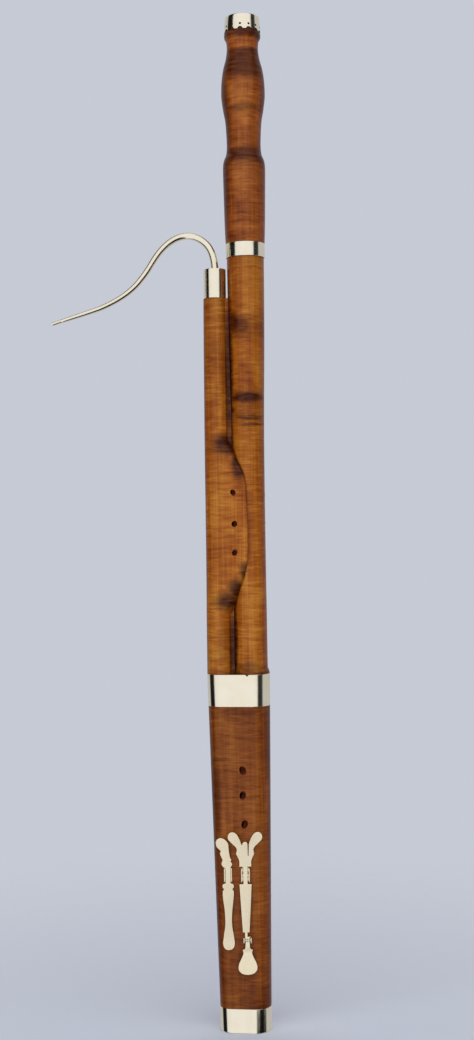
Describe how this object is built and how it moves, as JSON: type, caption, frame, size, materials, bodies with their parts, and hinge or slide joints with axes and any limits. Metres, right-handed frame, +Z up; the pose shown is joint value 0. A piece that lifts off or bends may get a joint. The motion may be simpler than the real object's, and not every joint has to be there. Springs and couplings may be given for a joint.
{
  "type": "bassoon",
  "caption": "Four-key baroque bassoon of stained maple in four joints, with brass mounts, swallow-tail keys, an eared wing joint and an S-curved brass bocal.",
  "frame": {"origin": "centre of the boot joint's flat foot", "axes": "+Z up along the bores to the bell; -Y towards the finger holes; -X towards the bocal"},
  "size_m": [0.2658, 0.06, 1.24],
  "materials": {
    "wood_light": "oiled and polished flamed maple, amber stain",
    "wood_dark": "oiled and polished flamed maple, red-brown stain",
    "brass": "polished",
    "steel": "blued and burnished",
    "thread": "waxed thread lapping",
    "cork": "sanded cork",
    "leather": "soft pale kid"
  },
  "bodies": {
    "boot": {"boot_joint": "wood_dark", "boot_top_band": "brass", "boot_bottom_cap": "brass", "boot_cork_plug": "cork", "strap_post": "brass", "gsharp_saddle": "brass", "gsharp_axle": "steel", "f_touch_saddle": "brass", "f_touch_axle": "steel", "f_flap_saddle": "brass", "f_flap_axle": "steel", "boot_saddle_screws": "steel"},
    "long": {"long_joint": "wood_light", "long_lower_lapping": "thread", "long_upper_lapping": "thread", "d_touch_saddle": "brass", "d_touch_axle": "steel", "d_flap_saddle": "brass", "d_flap_axle": "steel", "bflat_touch_saddle": "brass", "bflat_touch_axle": "steel", "bflat_flap_saddle": "brass", "bflat_flap_axle": "steel", "long_saddle_screws": "steel"},
    "wing": {"wing_joint": "wood_light", "wing_lapping": "thread", "wing_ferrule": "brass"},
    "bell": {"bell_joint": "wood_dark", "bell_socket_ring": "brass", "bell_crown": "brass"},
    "bocal_unit": {"bocal": "brass", "bocal_lapping": "thread"},
    "ring": {"strap_ring": "brass"},
    "gsharp": {"gsharp_key": "brass", "gsharp_pad": "leather", "gsharp_spring": "steel", "gsharp_rivet": "brass"},
    "f_lever": {"f_touch": "brass", "f_spring": "steel", "f_rivet": "brass"},
    "f_cover": {"f_flap": "brass", "f_pad": "leather"},
    "d_lever": {"d_touch": "brass", "d_spring": "steel", "d_rivet": "brass"},
    "d_cover": {"d_flap": "brass", "d_pad": "leather"},
    "bflat_lever": {"bflat_touch": "brass", "bflat_spring": "steel", "bflat_rivet": "brass"},
    "bflat_cover": {"bflat_flap": "brass", "bflat_pad": "leather"}
  },
  "joints": [
    {"name": "wing_pull", "type": "slide", "parent": "boot", "child": "wing", "axis": [0, 0, 1], "range_m": [0, 0.04]},
    {"name": "long_pull", "type": "slide", "parent": "boot", "child": "long", "axis": [0, 0, 1], "range_m": [0, 0.04]},
    {"name": "bell_pull", "type": "slide", "parent": "long", "child": "bell", "axis": [0, 0, 1], "range_m": [0, 0.035]},
    {"name": "bocal_swivel", "type": "hinge", "parent": "wing", "child": "bocal_unit", "pos_m": [-0.026, 0, 0.92], "axis": [0, 0, 1], "range_deg": [-110, 110]},
    {"name": "strap_ring_swing", "type": "hinge", "parent": "boot", "child": "ring", "pos_m": [-0.004, 0.028, 0.384], "axis": [1, 0, 0], "range_deg": [-10, 150]},
    {"name": "gsharp_key", "type": "hinge", "parent": "boot", "child": "gsharp", "pos_m": [-0.0198, -0.0206, 0.194], "axis": [-1, 0, 0], "range_deg": [0, 3.4], "stiffness_Nm_per_rad": 0.3, "springref_deg": -5.73, "deforming": ["gsharp_spring"]},
    {"name": "f_key", "type": "hinge", "parent": "boot", "child": "f_lever", "pos_m": [0.0013, -0.0231, 0.194], "axis": [-1, 0, 0], "range_deg": [0, 2.7], "stiffness_Nm_per_rad": 0.3, "springref_deg": -5.73, "deforming": ["f_spring"]},
    {"name": "f_key_flap", "type": "hinge", "parent": "boot", "child": "f_cover", "pos_m": [0.0028, -0.0231, 0.115], "axis": [1, 0, 0], "range_deg": [0, 7]},
    {"name": "d_key", "type": "hinge", "parent": "long", "child": "d_lever", "pos_m": [0.012, 0.0239, 0.574], "axis": [1, 0, 0], "range_deg": [0, 3.97], "stiffness_Nm_per_rad": 0.3, "springref_deg": -5.73, "deforming": ["d_spring"]},
    {"name": "d_key_flap", "type": "hinge", "parent": "long", "child": "d_cover", "pos_m": [0.012, 0.0239, 0.516], "axis": [-1, 0, 0], "range_deg": [0, 7]},
    {"name": "bflat_key", "type": "hinge", "parent": "long", "child": "bflat_lever", "pos_m": [0.012, 0.0241, 0.70195], "axis": [-1, 0, 0], "range_deg": [0, 3.45], "stiffness_Nm_per_rad": 0.3, "springref_deg": -5.73, "deforming": ["bflat_spring"]},
    {"name": "bflat_key_flap", "type": "hinge", "parent": "long", "child": "bflat_cover", "pos_m": [0.012, 0.02546, 0.81995], "axis": [1, 0, 0], "range_deg": [0, 7]}
  ],
  "couplings": [
    {"joint": "f_key_flap", "follows": "f_key", "ratio": 2.5909},
    {"joint": "d_key_flap", "follows": "d_key", "ratio": 1.7619},
    {"joint": "bflat_key_flap", "follows": "bflat_key", "ratio": 2.0256}
  ]
}
